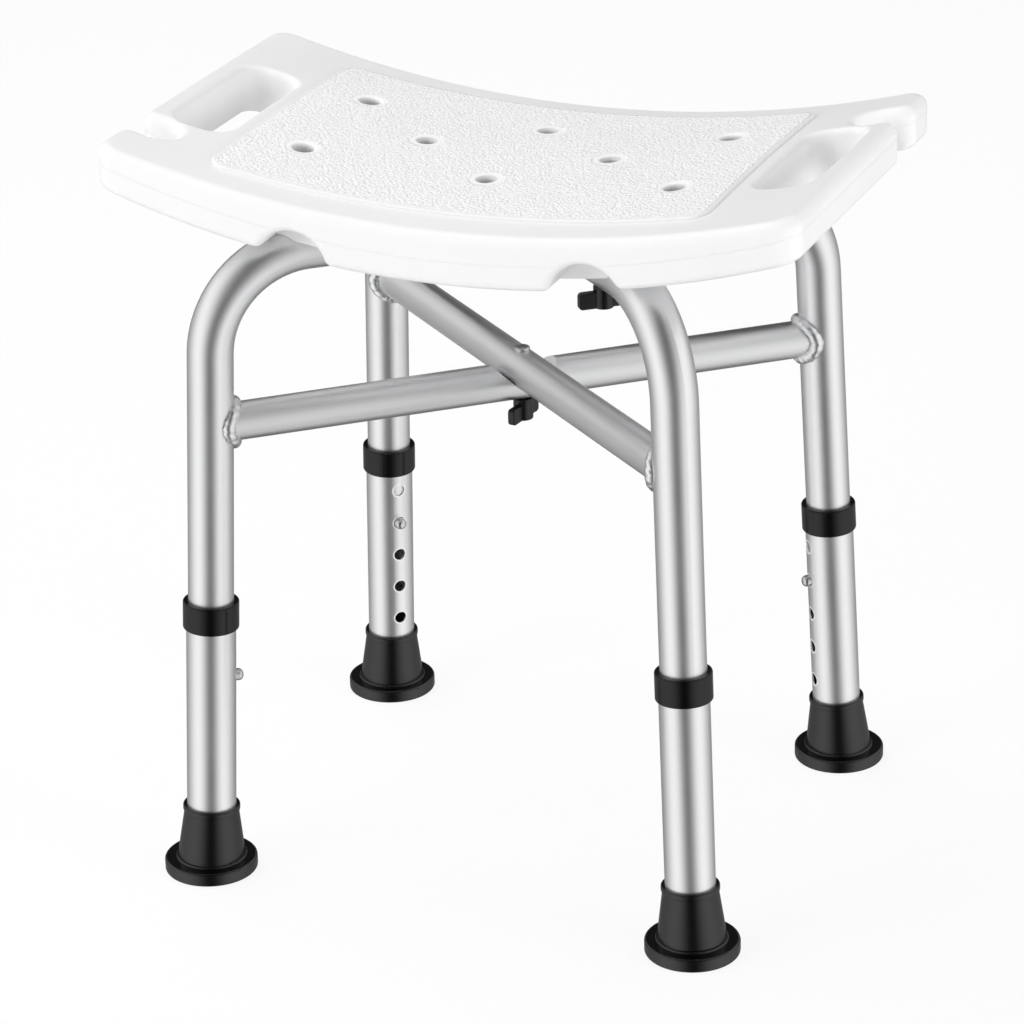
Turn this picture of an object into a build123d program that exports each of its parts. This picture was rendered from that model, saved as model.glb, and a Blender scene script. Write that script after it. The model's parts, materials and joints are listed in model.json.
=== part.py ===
from build123d import *
import math
import os

# Shower stool: a moulded seat on two crossed tube frames with four height-adjustable legs.
# Millimetres, +Z up, origin on the floor under the middle of the seat, front towards -Y.

# Seat outline and curve; its heights are above the axis of the upper frame's top run
SEAT_LENGTH = 448.0
SEAT_DEPTH = 266.0
SEAT_END_TOP = 61.0
SEAT_EDGE_MID_TOP = 27.5
SEAT_CROWN = 7.0
SEAT_END_BOTTOM = 33.5
SEAT_MID_BOTTOM = -5.0
SEAT_CORNER_RADIUS = 15.0
SEAT_TOP_ROUND = 7.0
SEAT_BOTTOM_ROUND = 5.0
SEAT_WALL = 3.5
BLOW_HOLE_DIA = 6.0
BLOW_HOLE_X = 150.0
BLOW_HOLE_TOP = 23.0

# Raised panel with the drain holes
PANEL_END_MARGIN = 64.0
PANEL_SIDE_MARGIN = 27.0
PANEL_RISE = 1.8
PANEL_CORNER_RADIUS = 12.0
PANEL_EDGE_ROUND = 1.2
DRAIN_SPACING = 121.0
DRAIN_ROW = 50.0
OUTER_DRAIN_DIA = 12.0
OUTER_DRAIN_ROUND = 3.0
INNER_DRAIN_DIA = 9.5
INNER_DRAIN_ROUND = 2.5

# Hand grips and hand-shower notches at the ends of the seat
GRIP_INSET = 34.0
GRIP_WIDTH = 38.0
GRIP_LENGTH = 116.0
GRIP_CORNER_RADIUS = 15.0
GRIP_ROUND = 4.0
NOTCH_INSET = 55.0
NOTCH_WIDTH = 25.0
NOTCH_DEPTH = 30.0
NOTCH_MOUTH_RADIUS = 8.0

# Round-ended pockets that open as arches in the front and back of the skirt
ARCH_X = 94.0
ARCH_RADIUS = 23.0
ARCH_TOP = 18.0
ARCH_DEPTH = 40.0
ARCH_LIP_RADIUS = 6.0

# Frames
FRAME_ANGLE = 41.3
FOOT_REACH = 217.0
SPLAY = 2.8
TUBE_DIA = 28.6
TUBE_WALL = 1.5
BEND_RADIUS = 64.0
UPPER_RUN_HEIGHT = 413.0
LOWER_RUN_DROP = 5.0
TUBE_END = 116.0
BRACE_DIA = 24.0
BRACE_WALL = 1.5
UPPER_BRACE_HEIGHT = 309.0
LOWER_BRACE_DROP = 8.0
SADDLE_CLEARANCE = 0.1
SADDLE_SLOPE = 45.0
SADDLE_FLARE = 30.0
WELD_SIZE = 2.2
GROOVE_CLEARANCE = 0.2

# Legs, collars and feet, measured along the leg from the floor
SLIDE_GAP = 0.3
LEG_WALL = 1.0
LEG_TOP = 182.0
HOLE_PITCH = 24.0
HOLES_ABOVE = 1
HOLES_BELOW = 3
BUTTON_HEIGHT = 132.0
COLLAR_WALL = 2.0
COLLAR_BOTTOM = 167.0
COLLAR_LIP = 3.0
COLLAR_ROUND = 1.0
FOOT_HEIGHT = 45.0
FOOT_RIM_WALL = 2.5
FOOT_RIM_HEIGHT = 4.0
FOOT_RIM_STEP = 0.8
FOOT_RIM_ROUND = 1.0
FOOT_CONE_DIA = 43.0
FOOT_CONE_BOTTOM = 10.0
FOOT_BEAD_RADIUS = 1.2
FOOT_FLANGE_DIA = 59.0
FOOT_FLANGE_HEIGHT = 9.0
FOOT_FLANGE_ROUND = 1.8
FOOT_SOLE = 8.0
FOOT_TREAD_DIA = 44.0
FOOT_TREAD_WIDTH = 4.0
FOOT_TREAD_DEPTH = 2.0
WASHER_THICKNESS = 2.0
WASHER_CLEARANCE = 0.4

# Snap buttons and their springs
BUTTON_DIA = 7.6
BUTTON_GAP = 0.3
BUTTON_STAND = 5.0
BUTTON_DOME = 3.0
SPRING_WIDTH = 7.0
SPRING_THICKNESS = 0.8
SPRING_RISE = 38.0
SPRING_TAIL = 7.0
SPRING_BEND = 4.0
SPRING_SEAT = 11.9

# Bolts and wing knobs
BOLT_DIA = 5.0
BOLT_HOLE_GAP = 0.3
BOLT_END_GAP = 1.0
THREAD_GAP = 0.05
CROSS_HEAD_DIA = 10.0
CROSS_HEAD_HEIGHT = 3.2
CROSS_HEAD_STAND = 2.0
CROSS_HEAD_ROUND = 1.0
CROSS_SOCKET_WIDTH = 4.0
CROSS_SOCKET_DEPTH = 1.5
SEAT_BOLT_REACH = 112.0
SEAT_BOLT_EMBED = 11.0
SEAT_BOLT_HEAD_DIA = 12.0
SEAT_BOLT_HEAD_HEIGHT = 4.0
SEAT_BOSS_DIA = 20.0
KNOB_HUB_DIA = 12.5
KNOB_HEIGHT = 14.0
KNOB_SPAN = 32.0
KNOB_WING_HEIGHT = 10.5
KNOB_WING_THICKNESS = 5.0
KNOB_ROUND = 1.0
KNOB_CORNER_RADIUS = 2.5
CROSS_KNOB_TURN = 83.0
SEAT_KNOB_TURN = 40.0
KNOB_BORE_DEPTH = 11.0
NUT_WIDTH = 8.0
NUT_HEIGHT = 4.0
NUT_DEPTH = 3.0

# Reach of cutting shapes past the stool, the slack when looking for rim edges,
# and how far an upright edge or wall may lean
TALL = 600.0
RIM_MARGIN = 0.5
UPRIGHT_SLACK = 0.02

# Sizes that follow from the ones above
tube_radius = TUBE_DIA / 2
brace_radius = BRACE_DIA / 2
leg_bore_radius = tube_radius + SLIDE_GAP
leg_radius = leg_bore_radius + LEG_WALL
button_radius = BUTTON_DIA / 2
button_hole_radius = button_radius + BUTTON_GAP
bolt_radius = BOLT_DIA / 2
bolt_hole_radius = bolt_radius + BOLT_HOLE_GAP
leg_end = FOOT_SOLE + WASHER_THICKNESS
splay_angle = math.radians(SPLAY)
lower_run_height = UPPER_RUN_HEIGHT - LOWER_RUN_DROP
lower_brace_height = UPPER_BRACE_HEIGHT - LOWER_BRACE_DROP
panel_length = SEAT_LENGTH - 2 * PANEL_END_MARGIN
panel_depth = SEAT_DEPTH - 2 * PANEL_SIDE_MARGIN
grip_reach = SEAT_LENGTH / 2 - GRIP_INSET
notch_reach = SEAT_DEPTH / 2 - NOTCH_INSET

LEG_TURNS = {
    "front_left": 180 + FRAME_ANGLE,
    "front_right": -FRAME_ANGLE,
    "rear_left": 180 - FRAME_ANGLE,
    "rear_right": FRAME_ANGLE,
}


def upright_cylinder(radius, bottom, top):
    """Cylinder on the Z axis between two heights."""
    return Pos(0, 0, bottom) * Cylinder(radius, top - bottom, align=(Align.CENTER, Align.CENTER, Align.MIN))


# Seat
def seat_section(y, half_length, top_middle, top_end, bottom_middle, bottom_end):
    """Lengthwise section of the seat: two arcs joined by upright ends."""
    top = ThreePointArc((-half_length, top_end), (0, top_middle), (half_length, top_end))
    right = Line((half_length, top_end), (half_length, bottom_end))
    bottom = ThreePointArc((half_length, bottom_end), (0, bottom_middle), (-half_length, bottom_end))
    left = Line((-half_length, bottom_end), (-half_length, top_end))
    plane = Plane(origin=(0, y, 0), x_dir=(1, 0, 0), z_dir=(0, -1, 0))
    return plane * make_face([top, right, bottom, left])


def seat_blank(inset=0.0, rise=0.0):
    """Seat block, hollowed lengthwise and crowned from front to back."""
    half_length = SEAT_LENGTH / 2 - inset
    half_depth = SEAT_DEPTH / 2 - inset
    top_end = UPPER_RUN_HEIGHT + SEAT_END_TOP - inset + rise
    edge_middle = UPPER_RUN_HEIGHT + SEAT_EDGE_MID_TOP - inset + rise
    bottom_end = UPPER_RUN_HEIGHT + SEAT_END_BOTTOM + inset
    bottom_middle = UPPER_RUN_HEIGHT + SEAT_MID_BOTTOM + inset
    sections = [
        seat_section(y, half_length, edge_middle + crown, top_end, bottom_middle, bottom_end)
        for y, crown in ((half_depth, 0), (0, SEAT_CROWN), (-half_depth, 0))
    ]
    return loft(sections)


def rounded_prism(x, y, length, depth, radius):
    """Upright prism with rounded corners, right through the seat."""
    outline = Pos(x, y, 0) * RectangleRounded(length, depth, radius)
    return extrude(outline, TALL)


def notch_prism(side, grow=0.0):
    """Hand-shower notch, open at one end of the seat; the two ends are half a turn apart."""
    width = NOTCH_WIDTH + 2 * grow
    reach = NOTCH_DEPTH + grow
    outline = Pos(SEAT_LENGTH / 2, notch_reach, 0) * SlotOverall(2 * reach, width)
    return Rot(0, 0, 0 if side > 0 else 180) * extrude(outline, TALL)


def seat_form(inset=0.0):
    """Seat block with its notches and rounded upright corners."""
    form = seat_blank(inset) - notch_prism(-1, inset) - notch_prism(1, inset)
    end = SEAT_LENGTH / 2 - inset - RIM_MARGIN
    at_ends = upright_edges(form).filter_by(lambda edge: abs((edge @ 0).X) > end)
    side = SEAT_DEPTH / 2 - inset - RIM_MARGIN
    form = fillet(at_ends.filter_by(lambda edge: abs((edge @ 0).Y) > side), SEAT_CORNER_RADIUS - inset)
    mouth = NOTCH_WIDTH / 2 + inset + RIM_MARGIN
    at_mouths = upright_edges(form).filter_by(
        lambda edge: abs((edge @ 0).X) > end and abs(abs((edge @ 0).Y) - notch_reach) < mouth)
    return fillet(at_mouths, NOTCH_MOUTH_RADIUS - inset)


def arch_pocket(side, face, grow=0.0):
    """Round-topped pocket let into the front or back of the seat, with a rounded inner end."""
    radius = ARCH_RADIUS + grow
    height = UPPER_RUN_HEIGHT + ARCH_TOP - ARCH_RADIUS
    inner = SEAT_DEPTH / 2 - ARCH_DEPTH
    barrel = Pos(0, -inner, 0) * Rot(90, 0, 0) * Cylinder(
        radius, SEAT_DEPTH / 2, align=(Align.CENTER, Align.CENTER, Align.MIN))
    pocket = barrel + Pos(0, -inner, 0) * Sphere(radius)
    return Pos(side * ARCH_X, 0, height) * Rot(0, 0, 0 if face < 0 else 180) * pocket


def arch_lips(shape):
    """Edges where the pockets break out of the underside of the seat."""
    lips = []
    for edge in shape.edges():
        box = edge.bounding_box()
        near = abs(abs(box.min.X + box.max.X) / 2 - ARCH_X) < ARCH_RADIUS
        low = box.max.Z < UPPER_RUN_HEIGHT + ARCH_TOP - SEAT_BOTTOM_ROUND
        if near and low and box.size.Y > ARCH_RADIUS / 2 and box.size.X < 2 * ARCH_RADIUS:
            lips.append(edge)
    return lips


def skirt_edges(shape):
    """Lower edges of the upright walls, round the arches and notches as well."""
    half_length = SEAT_LENGTH / 2
    rise = SEAT_END_BOTTOM - SEAT_MID_BOTTOM
    depth = SEAT_END_TOP - SEAT_END_BOTTOM
    found = []
    for face in shape.faces():
        if abs(face.normal_at(face.center()).Z) > UPRIGHT_SLACK:
            continue
        for edge in face.edges():
            box = edge.bounding_box()
            middle = edge @ 0.5
            underside = UPPER_RUN_HEIGHT + SEAT_MID_BOTTOM + rise * (middle.X / half_length) ** 2
            upright = max(box.size.X, box.size.Y) < UPRIGHT_SLACK
            if not upright and middle.Z < underside + depth - SEAT_BOTTOM_ROUND:
                found.append(edge)
    return found


def drain_places():
    """Centres, bores and edge rounds of the drain holes in three staggered rows."""
    outer = [(sx * DRAIN_SPACING, sy * DRAIN_ROW) for sx in (-1, 1) for sy in (-1, 1)]
    inner = [(0, -DRAIN_ROW), (0, DRAIN_ROW), (-DRAIN_SPACING / 2, 0), (DRAIN_SPACING / 2, 0)]
    places = [(x, y, OUTER_DRAIN_DIA / 2, OUTER_DRAIN_ROUND) for x, y in outer]
    return places + [(x, y, INNER_DRAIN_DIA / 2, INNER_DRAIN_ROUND) for x, y in inner]


def rim_edges(shape, x, y, length, depth, low):
    """Edges of an upright opening's upper rim: inside its outline and above a height."""
    found = []
    for edge in shape.edges():
        box = edge.bounding_box()
        wide = max(abs(box.min.X - x), abs(box.max.X - x)) < length / 2 + RIM_MARGIN
        deep = max(abs(box.min.Y - y), abs(box.max.Y - y)) < depth / 2 + RIM_MARGIN
        if wide and deep and box.min.Z > low:
            found.append(edge)
    return found


def upright_edges(shape):
    """Edges that run straight up."""
    def is_upright(edge):
        run = (edge @ 1) - (edge @ 0)
        return math.hypot(run.X, run.Y) < UPRIGHT_SLACK < abs(run.Z)
    return shape.edges().filter_by(is_upright)


# Frames
def frame_path(run_height):
    """Centre line of one bent frame tube, in the XZ plane."""
    def on_leg(height):
        return FOOT_REACH - height * math.tan(splay_angle)
    low = TUBE_END * math.cos(splay_angle)
    points = [
        (on_leg(low), 0, low),
        (on_leg(run_height), 0, run_height),
        (-on_leg(run_height), 0, run_height),
        (-on_leg(low), 0, low),
    ]
    return FilletPolyline(*points, radius=BEND_RADIUS)


def frame_rod(run_height, radius):
    """Solid rod along a frame tube's centre line."""
    path = frame_path(run_height)
    start = Plane(origin=path @ 0, z_dir=path % 0)
    return sweep(start * Circle(radius), path=path)


def brace_rod(height, radius):
    """Solid rod between the two legs of a frame."""
    reach = FOOT_REACH - height * math.tan(splay_angle)
    return Pos(0, 0, height) * Rot(0, 90, 0) * Cylinder(radius, 2 * reach)


def saddle_press(height, radius):
    """Round-bottomed trough pressed into the lower tube where the upper one crosses it."""
    slope = math.radians(SADDLE_SLOPE)
    shoulder = radius * math.sin(slope)
    drop = radius * math.cos(slope)
    rim = shoulder + SADDLE_FLARE
    top = SADDLE_FLARE * math.tan(slope) - drop
    floor = ThreePointArc((-shoulder, -drop), (0, -radius), (shoulder, -drop))
    walls = Polyline((shoulder, -drop), (rim, top), (-rim, top), (-shoulder, -drop))
    trough = Plane.YZ * make_face([floor, walls])
    length = 2 * (TUBE_DIA + radius)
    press = Pos(-length / 2, 0, height) * extrude(trough, length)
    return Rot(0, 0, -2 * FRAME_ANGLE) * press


def weld_beads(height, run_height):
    """Weld beads that follow the joints between a brace and the legs of its frame."""
    round_brace = brace_rod(height, brace_radius + WELD_SIZE)
    round_legs = frame_rod(run_height, tube_radius + WELD_SIZE)
    beads = round_brace & round_legs
    beads -= frame_rod(run_height, tube_radius)
    beads -= brace_rod(height, brace_radius)
    return beads.solids()


# Legs, built on the frame that runs along +X and turned into place
def leg_location():
    """Local frame of a leg: origin on the floor, Z up the leg, X towards the middle of the stool."""
    up = (-math.sin(splay_angle), 0, math.cos(splay_angle))
    inward = (-math.cos(splay_angle), 0, -math.sin(splay_angle))
    return Plane(origin=(FOOT_REACH, 0, 0), x_dir=inward, z_dir=up).location


def button_bore(height):
    """Round hole through the inner wall of a leg at a height along it."""
    length = leg_radius + BUTTON_STAND
    return Pos(0, 0, height) * Rot(0, 90, 0) * Cylinder(
        button_hole_radius, length, align=(Align.CENTER, Align.CENTER, Align.MIN))


def leg_tube():
    """Lower leg: a plain tube with a row of height holes."""
    tube = upright_cylinder(leg_radius, leg_end, LEG_TOP) - upright_cylinder(leg_bore_radius, 0, TALL)
    for step in range(-HOLES_BELOW, HOLES_ABOVE + 1):
        tube -= button_bore(BUTTON_HEIGHT + step * HOLE_PITCH)
    return tube


def leg_collar():
    """Plastic collar capping the top of the lower leg."""
    top = LEG_TOP + COLLAR_LIP
    ring = upright_cylinder(leg_radius + COLLAR_WALL, COLLAR_BOTTOM, top)
    ring = fillet(ring.edges().filter_by(GeomType.CIRCLE), COLLAR_ROUND)
    return ring - upright_cylinder(leg_radius, 0, LEG_TOP) - upright_cylinder(leg_bore_radius, 0, TALL)


def leg_foot():
    """Rubber foot: a tapered socket on the leg and a flange that lies flat on the floor."""
    rim_radius = leg_radius + FOOT_RIM_WALL
    taper_top = FOOT_HEIGHT - FOOT_RIM_HEIGHT
    taper = Pos(0, 0, FOOT_CONE_BOTTOM) * Cone(
        FOOT_CONE_DIA / 2, rim_radius - FOOT_RIM_STEP, taper_top - FOOT_CONE_BOTTOM,
        align=(Align.CENTER, Align.CENTER, Align.MIN))
    rim = upright_cylinder(rim_radius, taper_top, FOOT_HEIGHT)
    rim = fillet(rim.edges().filter_by(GeomType.CIRCLE), FOOT_RIM_ROUND)
    core = upright_cylinder(FOOT_CONE_DIA / 2, FOOT_FLANGE_HEIGHT / 2, FOOT_CONE_BOTTOM)
    socket = leg_location() * (taper + rim + core)
    flange = upright_cylinder(FOOT_FLANGE_DIA / 2, 0, FOOT_FLANGE_HEIGHT)
    flange = fillet(flange.edges().filter_by(GeomType.CIRCLE), FOOT_FLANGE_ROUND)
    bead_reach = FOOT_REACH - FOOT_FLANGE_HEIGHT * math.tan(splay_angle)
    bead = Pos(bead_reach, 0, FOOT_FLANGE_HEIGHT) * Torus(FOOT_CONE_DIA / 2, FOOT_BEAD_RADIUS)
    tread = upright_cylinder(FOOT_TREAD_DIA / 2, 0, FOOT_TREAD_DEPTH)
    tread -= upright_cylinder(FOOT_TREAD_DIA / 2 - FOOT_TREAD_WIDTH, 0, FOOT_TREAD_DEPTH)
    foot = socket + bead + Pos(FOOT_REACH, 0, 0) * (flange - tread)
    return foot - leg_location() * upright_cylinder(leg_radius, FOOT_SOLE, TALL)


def foot_washer():
    """Steel disc that keeps the leg from cutting through the foot."""
    return upright_cylinder(leg_radius - WASHER_CLEARANCE, FOOT_SOLE, FOOT_SOLE + WASHER_THICKNESS)


def snap_button():
    """Domed pin that stands through the frame tube and the leg."""
    tip = leg_radius + BUTTON_STAND
    pin = Cylinder(button_radius, tip - SPRING_SEAT, align=(Align.CENTER, Align.CENTER, Align.MIN))
    pin = fillet(pin.edges().sort_by(Axis.Z)[-1], BUTTON_DOME)
    return Pos(SPRING_SEAT, 0, BUTTON_HEIGHT) * Rot(0, 90, 0) * pin


def button_spring():
    """V spring inside the frame tube: one arm carries the button, the other bears on the far wall."""
    arm = SPRING_SEAT - SPRING_THICKNESS / 2
    low = BUTTON_HEIGHT - SPRING_TAIL
    path = FilletPolyline((arm, 0, low), (arm, 0, BUTTON_HEIGHT + SPRING_TAIL),
                          (0, 0, BUTTON_HEIGHT + SPRING_RISE), (-arm, 0, low), radius=SPRING_BEND)
    start = Plane(origin=path @ 0, x_dir=(1, 0, 0), z_dir=path % 0)
    return sweep(start * Rectangle(SPRING_THICKNESS, SPRING_WIDTH), path=path)


# Fasteners
def wing_knob():
    """Wing knob hanging below its seat at z = 0, with a socket for its nut."""
    hub = upright_cylinder(KNOB_HUB_DIA / 2, -KNOB_HEIGHT, 0)
    wing_outline = Plane.XZ * (
        Pos(0, KNOB_WING_HEIGHT / 2 - KNOB_HEIGHT)
        * RectangleRounded(KNOB_SPAN, KNOB_WING_HEIGHT, KNOB_CORNER_RADIUS))
    wings = extrude(wing_outline, KNOB_WING_THICKNESS / 2, both=True)
    wings = fillet(wings.edges(), KNOB_ROUND)
    hub = fillet(hub.edges().filter_by(GeomType.CIRCLE), KNOB_ROUND)
    bore = upright_cylinder(bolt_radius + THREAD_GAP, -KNOB_BORE_DEPTH, 0)
    return hub + wings - bore - knob_nut(solid=True)


def knob_nut(solid=False):
    """Hexagon nut moulded into a wing knob."""
    hexagon = RegularPolygon(NUT_WIDTH / 2, 6, major_radius=False)
    nut = Pos(0, 0, -NUT_DEPTH - NUT_HEIGHT) * extrude(hexagon, NUT_HEIGHT)
    if solid:
        return nut
    return nut - upright_cylinder(bolt_radius + THREAD_GAP, -KNOB_HEIGHT, 0)


turn_lower = Rot(0, 0, FRAME_ANGLE)
turn_upper = Rot(0, 0, -FRAME_ANGLE)

lower_solid = frame_rod(lower_run_height, tube_radius)
upper_solid = frame_rod(UPPER_RUN_HEIGHT, tube_radius)
lower_core = frame_rod(lower_run_height, tube_radius - TUBE_WALL)
upper_core = frame_rod(UPPER_RUN_HEIGHT, tube_radius - TUBE_WALL)

run_saddle = tube_radius + SADDLE_CLEARANCE
lower_pressed = lower_solid - saddle_press(UPPER_RUN_HEIGHT, run_saddle)
lower_pressed_core = lower_core - saddle_press(UPPER_RUN_HEIGHT, run_saddle + TUBE_WALL)
lower_frame = lower_pressed - lower_pressed_core
upper_frame = upper_solid - upper_core

brace_saddle = brace_radius + SADDLE_CLEARANCE
lower_brace_solid = brace_rod(lower_brace_height, brace_radius)
lower_brace_solid -= saddle_press(UPPER_BRACE_HEIGHT, brace_saddle)
lower_brace_core = brace_rod(lower_brace_height, brace_radius - BRACE_WALL)
lower_brace_core -= saddle_press(UPPER_BRACE_HEIGHT, brace_saddle + BRACE_WALL)
upper_brace_solid = brace_rod(UPPER_BRACE_HEIGHT, brace_radius)
upper_brace_core = brace_rod(UPPER_BRACE_HEIGHT, brace_radius - BRACE_WALL)
cross_hole = upright_cylinder(bolt_hole_radius, 0, TALL)
lower_brace = lower_brace_solid - lower_brace_core - lower_solid - cross_hole
upper_brace = upper_brace_solid - upper_brace_core - upper_solid - cross_hole
lower_welds = weld_beads(lower_brace_height, lower_run_height)
upper_welds = weld_beads(UPPER_BRACE_HEIGHT, UPPER_RUN_HEIGHT)

button_holes = [Rot(0, 0, turn) * leg_location() * button_bore(BUTTON_HEIGHT) for turn in (0, 180)]
for hole in button_holes:
    lower_frame -= hole
    upper_frame -= hole

# Seat bolts stand in the seat and pass down through the upper frame
groove_top = UPPER_RUN_HEIGHT + tube_radius + GROOVE_CLEARANCE
seat_bolt_top = groove_top + SEAT_BOLT_EMBED
seat_knob_top = UPPER_RUN_HEIGHT - tube_radius
seat_bolt = upright_cylinder(bolt_radius, seat_knob_top - KNOB_BORE_DEPTH + BOLT_END_GAP, seat_bolt_top)
seat_bolt += upright_cylinder(SEAT_BOLT_HEAD_DIA / 2, seat_bolt_top - SEAT_BOLT_HEAD_HEIGHT, seat_bolt_top)
seat_bolt_places = [turn_upper * Pos(side * SEAT_BOLT_REACH, 0, 0) for side in (1, -1)]
seat_bolts = [place * seat_bolt for place in seat_bolt_places]
for side in (1, -1):
    upper_frame -= Pos(side * SEAT_BOLT_REACH, 0, 0) * upright_cylinder(bolt_hole_radius, 0, TALL)

cross_top = UPPER_BRACE_HEIGHT + brace_radius
cross_knob_top = lower_brace_height - brace_radius
cross_bolt = upright_cylinder(bolt_radius, cross_knob_top - KNOB_BORE_DEPTH + BOLT_END_GAP, cross_top)
cross_head_top = cross_top + CROSS_HEAD_STAND
cross_head = upright_cylinder(CROSS_HEAD_DIA / 2, cross_head_top - CROSS_HEAD_HEIGHT, cross_head_top)
cross_head = fillet(cross_head.edges().sort_by(Axis.Z)[-1], CROSS_HEAD_ROUND)
socket_outline = RegularPolygon(CROSS_SOCKET_WIDTH / 2, 6, major_radius=False)
cross_socket = Pos(0, 0, cross_head_top - CROSS_SOCKET_DEPTH) * extrude(socket_outline, CROSS_SOCKET_DEPTH)
cross_bolt = cross_bolt + (cross_head - turn_upper * upper_brace_solid) - cross_socket

# Seat with its arches, openings and rounded edges
arches = [(side, face) for side in (-1, 1) for face in (-1, 1)]
seat = seat_form()
for side, face in arches:
    seat -= arch_pocket(side, face)
seat = fillet(arch_lips(seat), ARCH_LIP_RADIUS)
seat = fillet(skirt_edges(seat), SEAT_BOTTOM_ROUND)
top_face = max(seat.faces(), key=lambda face: face.area)
seat = fillet(top_face.edges(), SEAT_TOP_ROUND)
panel = seat_blank(rise=PANEL_RISE) & rounded_prism(0, 0, panel_length, panel_depth, PANEL_CORNER_RADIUS)
panel_top = panel.faces().sort_by(Axis.Z)[-1]
seat += fillet(panel_top.edges(), PANEL_EDGE_ROUND)
for side in (-1, 1):
    seat -= rounded_prism(side * grip_reach, 0, GRIP_WIDTH, GRIP_LENGTH, GRIP_CORNER_RADIUS)
for x, y, radius, _ in drain_places():
    seat -= Pos(x, y, 0) * upright_cylinder(radius, 0, TALL)
for x, y, radius, edge_round in drain_places():
    rims = rim_edges(seat, x, y, 2 * radius, 2 * radius, UPPER_RUN_HEIGHT + SEAT_EDGE_MID_TOP)
    seat = fillet(rims, edge_round)
for side in (-1, 1):
    rims = rim_edges(seat, side * grip_reach, 0, GRIP_WIDTH, GRIP_LENGTH, UPPER_RUN_HEIGHT + SEAT_END_BOTTOM)
    seat = fillet(rims, GRIP_ROUND)

# Hollow inside of the seat, one wall away from every outer surface
cavity = seat_form(SEAT_WALL)
for side, face in arches:
    cavity -= arch_pocket(side, face, SEAT_WALL)
for side in (-1, 1):
    cavity -= rounded_prism(side * grip_reach, 0, GRIP_WIDTH + 2 * SEAT_WALL, GRIP_LENGTH + 2 * SEAT_WALL,
                            GRIP_CORNER_RADIUS + SEAT_WALL)
for x, y, radius, _ in drain_places():
    cavity -= Pos(x, y, 0) * upright_cylinder(radius + SEAT_WALL, 0, TALL)
for place in seat_bolt_places:
    cavity -= place * upright_cylinder(SEAT_BOSS_DIA / 2, 0, TALL)

# Grooves that the frames lie in
for turn, height in ((turn_lower, lower_run_height), (turn_upper, UPPER_RUN_HEIGHT)):
    groove_radius = tube_radius + GROOVE_CLEARANCE
    seat -= turn * frame_rod(height, groove_radius)
    cavity -= turn * frame_rod(height, groove_radius + SEAT_WALL)

seat -= cavity
for bolt in seat_bolts:
    seat -= bolt
blow_hole_top = UPPER_RUN_HEIGHT + BLOW_HOLE_TOP
seat -= Pos(BLOW_HOLE_X, 0, 0) * upright_cylinder(BLOW_HOLE_DIA / 2, 0, blow_hole_top)

os.makedirs("parts", exist_ok=True)


def save(name, *solids):
    """Write one node as a STEP file."""
    shape = solids[0] if len(solids) == 1 else Compound(children=list(solids))
    export_step(shape, f"parts/{name}.step")


save("seat", seat)
save("seat_bolts", *seat_bolts)
save("lower_frame_tube", turn_lower * lower_frame)
save("lower_frame_brace", turn_lower * lower_brace)
save("lower_frame_welds", *[turn_lower * weld for weld in lower_welds])
save("upper_frame_tube", turn_upper * upper_frame)
save("upper_frame_brace", turn_upper * upper_brace)
save("upper_frame_welds", *[turn_upper * weld for weld in upper_welds])
save("cross_bolt", cross_bolt)

seat_knob_turn = Rot(0, 0, SEAT_KNOB_TURN + FRAME_ANGLE)
knob_places = {
    "cross": Pos(0, 0, cross_knob_top) * Rot(0, 0, CROSS_KNOB_TURN),
    "front_seat": seat_bolt_places[0] * Pos(0, 0, seat_knob_top) * seat_knob_turn,
    "rear_seat": seat_bolt_places[1] * Pos(0, 0, seat_knob_top) * seat_knob_turn,
}
for name, place in knob_places.items():
    save(f"{name}_knob", place * wing_knob())
    save(f"{name}_knob_nut", place * knob_nut())

leg = leg_location()
for name, turn in LEG_TURNS.items():
    stand = Rot(0, 0, turn)
    save(f"{name}_leg_tube", stand * leg * leg_tube())
    save(f"{name}_leg_collar", stand * leg * leg_collar())
    save(f"{name}_foot", stand * leg_foot())
    save(f"{name}_foot_washer", stand * leg * foot_washer())
    save(f"{name}_snap_button", stand * leg * snap_button())
    save(f"{name}_button_spring", stand * leg * button_spring())
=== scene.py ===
import json
import math

import bmesh
import bpy
from mathutils import Matrix, Vector


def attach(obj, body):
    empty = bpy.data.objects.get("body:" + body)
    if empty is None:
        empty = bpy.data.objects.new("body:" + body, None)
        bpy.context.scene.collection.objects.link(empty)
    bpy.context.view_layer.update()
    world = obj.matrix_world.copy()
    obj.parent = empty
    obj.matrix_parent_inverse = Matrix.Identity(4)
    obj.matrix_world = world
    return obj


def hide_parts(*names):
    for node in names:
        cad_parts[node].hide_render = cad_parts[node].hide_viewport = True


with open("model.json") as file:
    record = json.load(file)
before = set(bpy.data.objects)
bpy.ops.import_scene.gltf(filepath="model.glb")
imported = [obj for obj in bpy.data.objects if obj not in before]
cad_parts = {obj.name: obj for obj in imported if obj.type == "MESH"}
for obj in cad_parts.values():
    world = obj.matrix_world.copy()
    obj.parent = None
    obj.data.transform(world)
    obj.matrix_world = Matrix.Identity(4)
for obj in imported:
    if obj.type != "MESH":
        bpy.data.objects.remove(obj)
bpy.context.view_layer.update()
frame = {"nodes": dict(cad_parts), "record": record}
nodes = frame["nodes"]


# Node helpers
def new_material(name):
    """Node material with a Principled shader, returned with its tree and shader."""
    material = bpy.data.materials.new(name)
    material.use_nodes = True
    tree = material.node_tree
    shader = tree.nodes["Principled BSDF"]
    return material, tree, shader


def add(tree, kind, **settings):
    """New node with its properties set, and its inputs given as a dict."""
    inputs = settings.pop("inputs", {})
    node = tree.nodes.new(kind)
    for key, value in settings.items():
        setattr(node, key, value)
    for key, value in inputs.items():
        node.inputs[key].default_value = value
    return node


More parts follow.
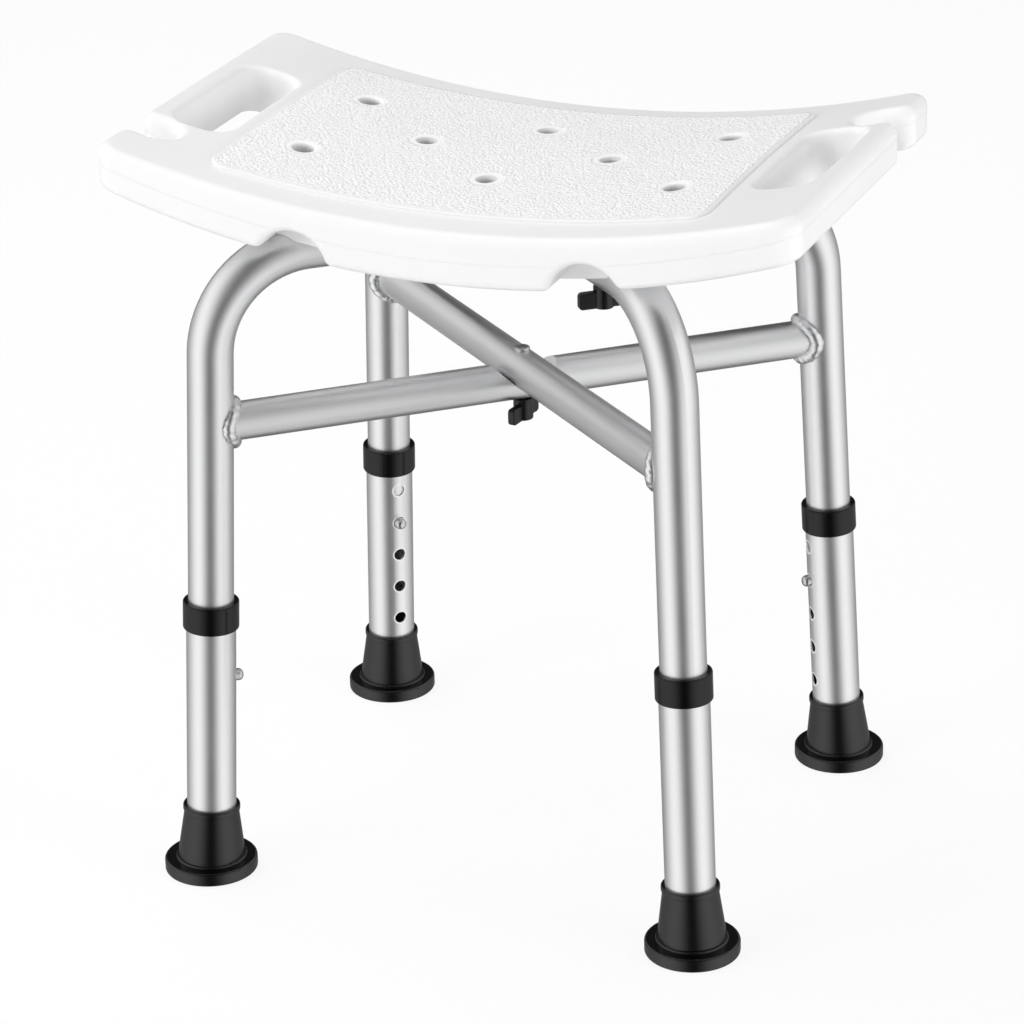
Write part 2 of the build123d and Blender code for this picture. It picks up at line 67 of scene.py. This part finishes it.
def maths(tree, operation, a, b=None):
    """Math node on one or two sockets or numbers."""
    node = add(tree, "ShaderNodeMath", operation=operation)
    for index, value in enumerate((a, b)):
        if value is None:
            continue
        if isinstance(value, (int, float)):
            node.inputs[index].default_value = value
        else:
            tree.links.new(value, node.inputs[index])
    return node.outputs[0]


def product(tree, first, *others):
    """Product of several sockets or numbers."""
    for other in others:
        first = maths(tree, "MULTIPLY", first, other)
    return first


def span(tree, a, b):
    """Length of two parts at right angles."""
    squares = [maths(tree, "POWER", part, 2.0) for part in (a, b)]
    return maths(tree, "SQRT", maths(tree, "ADD", *squares))


def spread(tree, value, low, high):
    """Mask from 0 to 1 as a value goes from low to high, smoothly."""
    node = add(tree, "ShaderNodeMapRange", interpolation_type="SMOOTHSTEP",
               inputs={"From Min": low, "From Max": high})
    tree.links.new(value, node.inputs["Value"])
    return node.outputs["Result"]


def between(tree, value, low, high):
    """Number from low to high as a mask goes from 0 to 1."""
    node = add(tree, "ShaderNodeMapRange", inputs={"To Min": low, "To Max": high})
    tree.links.new(value, node.inputs["Value"])
    return node.outputs["Result"]


def tint(tree, mask, dark, light):
    """Colour from dark to light as a mask goes from 0 to 1."""
    node = add(tree, "ShaderNodeMix", data_type="RGBA",
               inputs={"A": (*dark, 1), "B": (*light, 1)})
    tree.links.new(mask, node.inputs["Factor"])
    return node.outputs["Result"]


def profile(tree, value, stops):
    """Level read from a curve of (place, level) stops as a value goes from 0 to 1."""
    node = add(tree, "ShaderNodeValToRGB")
    ramp = node.color_ramp
    ramp.interpolation = "EASE"
    while len(ramp.elements) < len(stops):
        ramp.elements.new(1.0)
    for element, (place, level) in zip(ramp.elements, stops):
        element.position = place
        element.color = (level, level, level, 1)
    tree.links.new(value, node.inputs["Fac"])
    return node.outputs["Color"]


def split(tree, vector):
    """The X, Y and Z sockets of a vector."""
    node = add(tree, "ShaderNodeSeparateXYZ")
    tree.links.new(vector, node.inputs[0])
    return node.outputs["X"], node.outputs["Y"], node.outputs["Z"]


NOISE_ROUGHNESS = 0.55
GRAIN_DETAIL = 2.0
MOTTLE_DETAIL = 3.0


def surface_group():
    """Shared surface effect: fine grain and broad mottle."""
    group = bpy.data.node_groups.new("fine_grain", "ShaderNodeTree")
    sockets = group.interface
    sockets.new_socket("Vector", in_out="INPUT", socket_type="NodeSocketVector")
    for name in ("Grain Scale", "Mottle Scale"):
        sockets.new_socket(name, in_out="INPUT", socket_type="NodeSocketFloat")
    for name in ("Grain", "Mottle"):
        sockets.new_socket(name, in_out="OUTPUT", socket_type="NodeSocketFloat")
    source = group.nodes.new("NodeGroupInput")
    result = group.nodes.new("NodeGroupOutput")
    for name, detail in (("Grain", GRAIN_DETAIL), ("Mottle", MOTTLE_DETAIL)):
        noise = add(group, "ShaderNodeTexNoise",
                    inputs={"Detail": detail, "Roughness": NOISE_ROUGHNESS})
        group.links.new(source.outputs["Vector"], noise.inputs["Vector"])
        group.links.new(source.outputs[f"{name} Scale"], noise.inputs["Scale"])
        group.links.new(noise.outputs["Fac"], result.inputs[name])
    return group


FINE_GRAIN = surface_group()


def grained(tree, grain_scale, mottle_scale):
    """Object coordinates, with grain and mottle values on them."""
    place = add(tree, "ShaderNodeTexCoord").outputs["Object"]
    node = add(tree, "ShaderNodeGroup", node_tree=FINE_GRAIN,
               inputs={"Grain Scale": grain_scale, "Mottle Scale": mottle_scale})
    tree.links.new(place, node.inputs["Vector"])
    return place, node.outputs["Grain"], node.outputs["Mottle"]


def raise_bump(tree, shader, height, distance):
    """Bump from a height value into the shader's normal."""
    bump = add(tree, "ShaderNodeBump", inputs={"Strength": 1.0, "Distance": distance})
    tree.links.new(height, bump.inputs["Height"])
    tree.links.new(bump.outputs["Normal"], shader.inputs["Normal"])


# Seat: raised panel, mould seam round the skirt, and drain holes with painted shade on their walls
PANEL_HALF = (0.160, 0.106)
PANEL_CORNER = 0.012
PANEL_EDGE = (PANEL_CORNER - 0.0036, PANEL_CORNER - 0.0022)
PANEL_SLOPE = (0.80, 0.92)
PANEL_ROUGHENING = 0.16
PEBBLE_SCALE = 500.0
PEBBLE_SMOOTHNESS = 0.30
PEBBLE_DEPTH = 0.0012
SEAM_MIDDLE = 0.4240
SEAM_CURVE = 0.767
SEAM_HALF_WIDTH = 0.0007
SEAM_SHARE = 0.17
SKIRT_SLOPE = (0.20, 0.05)
SKIRT_END = (0.208, 0.212)
SKIRT_SIDE = (0.060, 0.075)
SKIN_GRAIN_SHARE = 0.06
DRAIN_SPACING = 0.121
DRAIN_ROW = 0.050
# Painted shade on the drain holes' walls: the distances over which it fades in, and the tone it
# multiplies in
BORE_SHADE_EDGE = (0.0078, 0.0058)
BORE_PAINTED_SHADE = (0.70, 0.70, 0.71)
SMOOTH_RIM = (0.0098, 0.0118)
BORDER_WHITE = ((0.84, 0.84, 0.843), (0.88, 0.88, 0.882))
PANEL_WHITE = ((0.90, 0.90, 0.903), (0.94, 0.94, 0.942))
SEAT_GRAIN = (700.0, 9.0)
SEAT_ROUGHNESS = (0.34, 0.44)
SEAT_GLOSS = 0.45


def drain_distance(tree, x, y):
    """Distance to the nearest drain hole's axis, with the rows folded onto one hole each."""
    outer_row = maths(tree, "SUBTRACT", maths(tree, "ABSOLUTE", y), DRAIN_ROW)
    column = maths(tree, "PINGPONG", x, DRAIN_SPACING / 2)
    stagger = maths(tree, "SUBTRACT", maths(tree, "ABSOLUTE", x), DRAIN_SPACING / 2)
    return maths(tree, "MINIMUM", span(tree, column, outer_row), span(tree, stagger, y))


def panel_mask(tree, x, y, slope):
    """Mask of the raised panel's upper face, inside its smooth edge."""
    outside = []
    for part, half in zip((x, y), PANEL_HALF):
        past = maths(tree, "SUBTRACT", maths(tree, "ABSOLUTE", part), half - PANEL_CORNER)
        outside.append(maths(tree, "MAXIMUM", past, 0.0))
    edge = spread(tree, span(tree, *outside), *PANEL_EDGE)
    upward = spread(tree, slope, *PANEL_SLOPE)
    return product(tree, maths(tree, "SUBTRACT", 1.0, edge), upward)


def seam_height(tree, x, y, z, slope):
    """Height of the faint mould seam that follows the skirt's curve."""
    rise = product(tree, maths(tree, "POWER", x, 2.0), SEAM_CURVE)
    above = maths(tree, "SUBTRACT", maths(tree, "SUBTRACT", z, SEAM_MIDDLE), rise)
    seam = spread(tree, maths(tree, "ABSOLUTE", above), SEAM_HALF_WIDTH, 0.0)
    wall = spread(tree, maths(tree, "ABSOLUTE", slope), *SKIRT_SLOPE)
    ends = spread(tree, maths(tree, "ABSOLUTE", x), *SKIRT_END)
    sides = spread(tree, maths(tree, "ABSOLUTE", y), *SKIRT_SIDE)
    return product(tree, seam, wall, maths(tree, "MAXIMUM", ends, sides), SEAM_SHARE)


def moulded_white():
    """Satin white polyethylene with a pebbled panel between the hand grips and painted shade in the
    drain holes.
    """
    material, tree, shader = new_material("moulded_white")
    place, grain, mottle = grained(tree, *SEAT_GRAIN)
    x, y, z = split(tree, place)
    facing = add(tree, "ShaderNodeNewGeometry")
    slope = split(tree, facing.outputs["Normal"])[2]
    panel = panel_mask(tree, x, y, slope)
    drain = drain_distance(tree, x, y)
    pebbles = add(tree, "ShaderNodeTexVoronoi", feature="SMOOTH_F1",
                  inputs={"Scale": PEBBLE_SCALE, "Smoothness": PEBBLE_SMOOTHNESS})
    tree.links.new(place, pebbles.inputs["Vector"])
    pebble = maths(tree, "SUBTRACT", 1.0, pebbles.outputs["Distance"])
    pebble = product(tree, pebble, panel, spread(tree, drain, *SMOOTH_RIM))
    height = maths(tree, "ADD", pebble, seam_height(tree, x, y, z, slope))
    height = maths(tree, "ADD", height, product(tree, grain, SKIN_GRAIN_SHARE))
    raise_bump(tree, shader, height, PEBBLE_DEPTH)
    colour = add(tree, "ShaderNodeMix", data_type="RGBA")
    tree.links.new(panel, colour.inputs["Factor"])
    tree.links.new(tint(tree, mottle, *BORDER_WHITE), colour.inputs["A"])
    tree.links.new(tint(tree, mottle, *PANEL_WHITE), colour.inputs["B"])
    # Painted shade: the base colour is darkened on the walls of the drain holes
    shade = add(tree, "ShaderNodeMix", data_type="RGBA", blend_type="MULTIPLY",
                inputs={"B": (*BORE_PAINTED_SHADE, 1)})
    tree.links.new(spread(tree, drain, *BORE_SHADE_EDGE), shade.inputs["Factor"])
    tree.links.new(colour.outputs["Result"], shade.inputs["A"])
    tree.links.new(shade.outputs["Result"], shader.inputs["Base Color"])
    satin = between(tree, mottle, *SEAT_ROUGHNESS)
    rough = maths(tree, "ADD", satin, product(tree, panel, PANEL_ROUGHENING))
    tree.links.new(rough, shader.inputs["Roughness"])
    shader.inputs["Specular IOR Level"].default_value = SEAT_GLOSS
    return material


# Legs: reach of the feet, lean and turn of the frames, and the row of height holes
FOOT_REACH = 0.217
SPLAY = math.radians(2.8)
FRAME_TURN = math.radians(41.3)
HOLE_MIDDLE = 0.132
HOLE_PITCH = 0.024
HOLE_ROW = (0.050, 0.166)
# Painted highlight ring round each height hole: its span, its metallic level and the frame tube it
# keeps off
HOLE_RIM_HIGHLIGHT = (0.0052, 0.0047)
RIM_HIGHLIGHT_METALLIC = 0.2
FRAME_TUBE_CLEAR = 0.0145
TUBE_GREY = ((0.79, 0.793, 0.80), (0.85, 0.853, 0.86))
# White of the painted highlight rings round the height holes
RIM_HIGHLIGHT_WHITE = (0.90, 0.90, 0.91)
TUBE_GRAIN = (1600.0, 26.0)
TUBE_GRAIN_DEPTH = 0.00004
DRAWN_ROUGHNESS = (0.31, 0.41)
WORN_ROUGHNESS = (-0.02, 0.05)


def painted_rim_highlights(tree, place):
    """Mask of the painted highlight rings round the height holes, with the four legs folded onto
    one.
    """
    fold = add(tree, "ShaderNodeVectorMath", operation="ABSOLUTE")
    tree.links.new(place, fold.inputs[0])
    turned = add(tree, "ShaderNodeVectorRotate", rotation_type="Z_AXIS",
                 inputs={"Angle": -FRAME_TURN})
    tree.links.new(fold.outputs[0], turned.inputs["Vector"])
    upright = add(tree, "ShaderNodeVectorRotate", rotation_type="Y_AXIS",
                  inputs={"Center": (FOOT_REACH, 0, 0), "Angle": SPLAY})
    tree.links.new(turned.outputs[0], upright.inputs["Vector"])
    out, across, up = split(tree, upright.outputs[0])
    along = maths(tree, "PINGPONG", maths(tree, "SUBTRACT", up, HOLE_MIDDLE), HOLE_PITCH / 2)
    highlight_ring = spread(tree, span(tree, along, across), *HOLE_RIM_HIGHLIGHT)
    off_axis = maths(tree, "SUBTRACT", FOOT_REACH, out)
    inner_side = maths(tree, "GREATER_THAN", off_axis, 0.0)
    outer_tube = maths(tree, "GREATER_THAN", span(tree, off_axis, across), FRAME_TUBE_CLEAR)
    over_lowest = maths(tree, "GREATER_THAN", up, HOLE_ROW[0])
    under_highest = maths(tree, "LESS_THAN", up, HOLE_ROW[1])
    return product(tree, highlight_ring, inner_side, outer_tube, over_lowest, under_highest)


def satin_tube():
    """Satin anodised aluminium tube with faint drawn lines and painted highlight rings round its
    holes.
    """
    material, tree, shader = new_material("satin_tube")
    place, grain, mottle = grained(tree, *TUBE_GRAIN)
    rim_highlights = painted_rim_highlights(tree, place)
    # Painted highlight: near-white, less metallic rings round the height holes
    colour = add(tree, "ShaderNodeMix", data_type="RGBA", inputs={"B": (*RIM_HIGHLIGHT_WHITE, 1)})
    tree.links.new(rim_highlights, colour.inputs["Factor"])
    tree.links.new(tint(tree, mottle, *TUBE_GREY), colour.inputs["A"])
    tree.links.new(colour.outputs["Result"], shader.inputs["Base Color"])
    drawn = between(tree, grain, *DRAWN_ROUGHNESS)
    worn = between(tree, mottle, *WORN_ROUGHNESS)
    tree.links.new(maths(tree, "ADD", drawn, worn), shader.inputs["Roughness"])
    raise_bump(tree, shader, grain, TUBE_GRAIN_DEPTH)
    tree.links.new(between(tree, rim_highlights, 1.0, RIM_HIGHLIGHT_METALLIC), shader.inputs["Metallic"])
    return material


WELD_GRAIN = (520.0, 60.0)
WELD_GRAIN_DEPTH = 0.0002
WELD_ROUGHNESS = (0.24, 0.42)
WELD_GREY = ((0.74, 0.745, 0.75), (0.86, 0.863, 0.87))


def weld_bead():
    """Bare aluminium weld with an uneven skin."""
    material, tree, shader = new_material("weld_bead")
    _, grain, mottle = grained(tree, *WELD_GRAIN)
    tree.links.new(tint(tree, mottle, *WELD_GREY), shader.inputs["Base Color"])
    tree.links.new(between(tree, grain, *WELD_ROUGHNESS), shader.inputs["Roughness"])
    raise_bump(tree, shader, grain, WELD_GRAIN_DEPTH)
    shader.inputs["Metallic"].default_value = 1.0
    return material


BLACK = ((0.00075,) * 3, (0.00135,) * 3)
SCUFF_SCALE = 35.0


def black_moulding(name, gloss, roughness, grain_scale, grain_depth):
    """Black plastic or rubber with a fine skin and slight scuffing."""
    material, tree, shader = new_material(name)
    _, grain, mottle = grained(tree, grain_scale, SCUFF_SCALE)
    tree.links.new(tint(tree, mottle, *BLACK), shader.inputs["Base Color"])
    tree.links.new(between(tree, mottle, *roughness), shader.inputs["Roughness"])
    raise_bump(tree, shader, grain, grain_depth)
    shader.inputs["Specular IOR Level"].default_value = gloss
    return material


STEEL = ((0.54,) * 3, (0.60,) * 3)
STEEL_GRAIN = (1200.0, 90.0)
STEEL_GRAIN_DEPTH = 0.00003


def bright_steel(name, roughness):
    """Plated steel with faint wear."""
    material, tree, shader = new_material(name)
    _, grain, mottle = grained(tree, *STEEL_GRAIN)
    tree.links.new(tint(tree, mottle, *STEEL), shader.inputs["Base Color"])
    tree.links.new(between(tree, mottle, *roughness), shader.inputs["Roughness"])
    raise_bump(tree, shader, grain, STEEL_GRAIN_DEPTH)
    shader.inputs["Metallic"].default_value = 1.0
    return material


FINISHES = {
    "seat_plastic": moulded_white(),
    "tube_aluminium": satin_tube(),
    "weld_aluminium": weld_bead(),
    "collar_plastic": black_moulding("collar_black", gloss=0.34, roughness=(0.17, 0.24),
                                     grain_scale=900.0, grain_depth=0.00003),
    "foot_rubber": black_moulding("foot_rubber", gloss=0.58, roughness=(0.17, 0.24),
                                  grain_scale=1100.0, grain_depth=0.00004),
    "knob_plastic": black_moulding("knob_black", gloss=0.45, roughness=(0.22, 0.30),
                                   grain_scale=1000.0, grain_depth=0.00005),
    "button_steel": bright_steel("button_chrome", roughness=(0.06, 0.14)),
    "bolt_steel": bright_steel("zinc_steel", roughness=(0.25, 0.40)),
}


def dress(piece, finish):
    """Give a piece one finish."""
    piece.data.materials.clear()
    piece.data.materials.append(finish)


for entry in frame["record"]["subparts"]:
    dress(nodes[entry["node"]], FINISHES[entry["material_slot"]])


# Weld beads, rippled and bent to follow the joints between the braces and the legs
BRACE_RADIUS = 0.012
TUBE_RADIUS = 0.0143
LOWER_BRACE_HEIGHT = 0.301
UPPER_BRACE_HEIGHT = 0.309
BEAD_RADIUS = 0.0046
BEAD_SINK = 0.0004
BEAD_SIDES = 20
BEAD_STEPS = 140
RIPPLES = 19
RIPPLE_DEPTH = 0.08
RIPPLE_LEAN = 1.6
RIPPLE_MEAN = 0.6


def bead_ring(shape, height, turn):
    """One bead round a brace's end, in place."""
    section = Matrix.Translation((0, 0, BRACE_RADIUS)) @ Matrix.Rotation(math.pi / 2, 4, "X")
    known = set(shape.verts)
    made = bmesh.ops.create_circle(shape, segments=BEAD_SIDES, radius=BEAD_RADIUS,
                                   matrix=section)
    ring = made["verts"]
    edges = dict.fromkeys(edge for vertex in ring for edge in vertex.link_edges)
    bmesh.ops.spin(shape, geom=[*ring, *edges], cent=(0, 0, 0), axis=(1, 0, 0),
                   angle=2 * math.pi, steps=BEAD_STEPS, use_merge=True)
    reach = FOOT_REACH - height * math.tan(SPLAY)
    place = Matrix.Translation((0, 0, height)) @ Matrix.Rotation(turn, 4, "Z")
    for vertex in shape.verts:
        if vertex in known:
            continue
        across = math.hypot(vertex.co.y, vertex.co.z)
        angle = math.atan2(vertex.co.y, vertex.co.z)
        wave = (RIPPLES * angle / (2 * math.pi) + vertex.co.x / (4 * BEAD_RADIUS)) % 1.0
        swell = 1.0 + RIPPLE_DEPTH * (math.sin(math.pi * wave**RIPPLE_LEAN) - RIPPLE_MEAN)
        side, rise = BRACE_RADIUS * math.sin(angle), BRACE_RADIUS * math.cos(angle)
        wall = math.sqrt(TUBE_RADIUS**2 - side**2)
        joint = reach - (wall + rise * math.sin(SPLAY)) / math.cos(SPLAY)
        along = joint - BEAD_SINK + vertex.co.x * swell
        out = BRACE_RADIUS + (across - BRACE_RADIUS) * swell
        vertex.co = place @ Vector((along, out * math.sin(angle), out * math.cos(angle)))


def weld_beads(name, node, height, turn):
    """Both beads of one brace, in place of its plain weld node."""
    shape = bmesh.new()
    for end in (turn, turn + math.pi):
        bead_ring(shape, height, end)
    bmesh.ops.recalc_face_normals(shape, faces=shape.faces)
    for face in shape.faces:
        face.smooth = True
    mesh = bpy.data.meshes.new(name)
    shape.to_mesh(mesh)
    shape.free()
    piece = bpy.data.objects.new(name, mesh)
    bpy.context.scene.collection.objects.link(piece)
    dress(piece, FINISHES["weld_aluminium"])
    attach(piece, "seat_and_frame")
    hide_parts(node)


weld_beads("lower_weld_beads", "lower_frame_welds", LOWER_BRACE_HEIGHT, FRAME_TURN)
weld_beads("upper_weld_beads", "upper_frame_welds", UPPER_BRACE_HEIGHT, -FRAME_TURN)


# Stage and light
FLOOR_HALF = 30.0
FLOOR_CLEAR = 0.88
FLOOR_WHITE = (0.9, 0.9, 0.9, 1)
FLOOR_ROUGHNESS = 0.9


def white_floor():
    """Pale floor that reads white to the camera, keeps a soft shadow and lets lowered feet show."""
    mesh = bpy.data.meshes.new("floor")
    shape = bmesh.new()
    bmesh.ops.create_grid(shape, x_segments=1, y_segments=1, size=FLOOR_HALF)
    shape.to_mesh(mesh)
    shape.free()
    floor = bpy.data.objects.new("floor", mesh)
    bpy.context.scene.collection.objects.link(floor)
    material, tree, shader = new_material("floor_white")
    shader.inputs["Base Color"].default_value = FLOOR_WHITE
    shader.inputs["Roughness"].default_value = FLOOR_ROUGHNESS
    shader.inputs["Specular IOR Level"].default_value = 0.0
    clear = add(tree, "ShaderNodeBsdfTransparent")
    ray = add(tree, "ShaderNodeLightPath")
    mix = add(tree, "ShaderNodeMixShader")
    tree.links.new(product(tree, ray.outputs["Is Camera Ray"], FLOOR_CLEAR), mix.inputs["Fac"])
    tree.links.new(shader.outputs[0], mix.inputs[1])
    tree.links.new(clear.outputs[0], mix.inputs[2])
    tree.links.new(mix.outputs[0], tree.nodes["Material Output"].inputs["Surface"])
    mesh.materials.append(material)
    floor.visible_glossy = False


# Lamps as name, place, size and power
LAMP_AIM = (0.0, 0.0, 0.25)
LAMPS = (
    ("key_box", (-1.7, -2.3, 1.5), (1.6, 1.6), 41.0),
    ("fill_box", (2.6, -0.5, 0.7), (1.4, 1.8), 37.0),
    ("top_box", (-1.2, 0.4, 2.5), (2.0, 1.6), 29.0),
)


def soft_box(name, place, size, power):
    """Large soft lamp aimed at the stool; only its light shows, not its reflection."""
    lamp = bpy.data.lights.new(name, "AREA")
    lamp.shape = "RECTANGLE"
    lamp.size, lamp.size_y = size
    lamp.energy = power
    holder = bpy.data.objects.new(name, lamp)
    holder.location = place
    holder.rotation_mode = "QUATERNION"
    holder.rotation_quaternion = (Vector(LAMP_AIM) - Vector(place)).to_track_quat("-Z", "Y")
    holder.visible_glossy = False
    bpy.context.scene.collection.objects.link(holder)


# Levels of the surround that the shine shows, as (place, level): by turn from the photo's side
# to behind the stool, and by lift from below to overhead
STUDIO_FRONT = (0.387, -0.922, 0.0)
TURN_LEVELS = ((0.0, 0.06), (0.06, 0.13), (0.13, 0.44), (0.20, 0.80), (0.28, 1.0),
               (0.38, 1.0), (0.48, 0.80), (0.60, 0.50), (0.75, 0.27), (1.0, 0.14))
LIFT_LEVELS = ((0.0, 0.55), (0.1, 0.75), (0.25, 1.0), (0.60, 1.0), (0.75, 0.95),
               (0.90, 0.70), (1.0, 0.40))
FRONT_WIDENING = 0.65
WIDENING_LIFT = (-0.1, 0.6)
WHITE_LEVEL = 1.2
FAR_WALL_LEVEL = 0.15
FAR_WALL_TURN = (-0.75, -0.97)
FAR_WALL_LIFT = (0.05, 0.30)
SOFT_LEVEL = 0.50


def shine_level(tree):
    """Brightness of the surround in the direction of a reflected ray."""
    way = add(tree, "ShaderNodeTexCoord").outputs["Generated"]
    level = add(tree, "ShaderNodeVectorMath", operation="MULTIPLY", inputs={1: (1, 1, 0)})
    tree.links.new(way, level.inputs[0])
    flat = add(tree, "ShaderNodeVectorMath", operation="NORMALIZE")
    tree.links.new(level.outputs[0], flat.inputs[0])
    side = add(tree, "ShaderNodeVectorMath", operation="DOT_PRODUCT", inputs={1: STUDIO_FRONT})
    tree.links.new(flat.outputs[0], side.inputs[0])
    towards = side.outputs["Value"]
    up = split(tree, way)[2]
    turn = maths(tree, "DIVIDE", maths(tree, "ARCCOSINE", towards), math.pi)
    widening = between(tree, spread(tree, up, *WIDENING_LIFT), 1.0, FRONT_WIDENING)
    turn = product(tree, turn, widening)
    lift = product(tree, maths(tree, "ADD", up, 1.0), 0.5)
    behind = spread(tree, towards, *FAR_WALL_TURN)
    far_wall = product(tree, behind, spread(tree, up, *FAR_WALL_LIFT))
    wall_level = between(tree, far_wall, WHITE_LEVEL, FAR_WALL_LEVEL)
    by_turn = profile(tree, turn, TURN_LEVELS)
    by_lift = profile(tree, lift, LIFT_LEVELS)
    return product(tree, by_turn, by_lift, wall_level)


def studio():
    """White surround with darker parts for the shine to show, and soft lamps."""
    world = bpy.data.worlds.new("studio")
    bpy.context.scene.world = world
    world.use_nodes = True
    tree = world.node_tree
    ray = add(tree, "ShaderNodeLightPath")
    direct = maths(tree, "MAXIMUM", ray.outputs["Is Camera Ray"],
                   ray.outputs["Is Transmission Ray"])
    strength = add(tree, "ShaderNodeMix", data_type="FLOAT", inputs={"A": SOFT_LEVEL})
    tree.links.new(ray.outputs["Is Glossy Ray"], strength.inputs["Factor"])
    tree.links.new(shine_level(tree), strength.inputs["B"])
    ground = tree.nodes["Background"]
    ground.inputs["Color"].default_value = (1, 1, 1, 1)
    brightest = maths(tree, "MAXIMUM", strength.outputs["Result"], direct)
    tree.links.new(brightest, ground.inputs["Strength"])
    for lamp in LAMPS:
        soft_box(*lamp)


# Camera, fitted to the photograph
CAMERA_PLACE = (0.9416, -2.2658, 1.2459)
CAMERA_AZIMUTH = math.radians(22.77)
CAMERA_ELEVATION = math.radians(22.87)
CAMERA_ROLL = math.radians(-1.41)
FOCAL_PIXELS = 4200.0
PICTURE_PIXELS = 1024.0
SENSOR = 36.0


def photo_camera():
    """Camera at the photograph's viewing angle."""
    data = bpy.data.cameras.new("camera")
    data.sensor_width = SENSOR
    data.lens = FOCAL_PIXELS / PICTURE_PIXELS * SENSOR
    camera = bpy.data.objects.new("camera", data)
    bpy.context.scene.collection.objects.link(camera)
    tilt = Matrix.Rotation(math.pi / 2 - CAMERA_ELEVATION, 4, "X")
    roll = Matrix.Rotation(CAMERA_ROLL, 4, "Z")
    turned = Matrix.Rotation(CAMERA_AZIMUTH, 4, "Z") @ tilt @ roll
    camera.matrix_world = Matrix.Translation(CAMERA_PLACE) @ turned
    bpy.context.scene.camera = camera


white_floor()
studio()
photo_camera()
bpy.context.scene.view_settings.view_transform = "Standard"
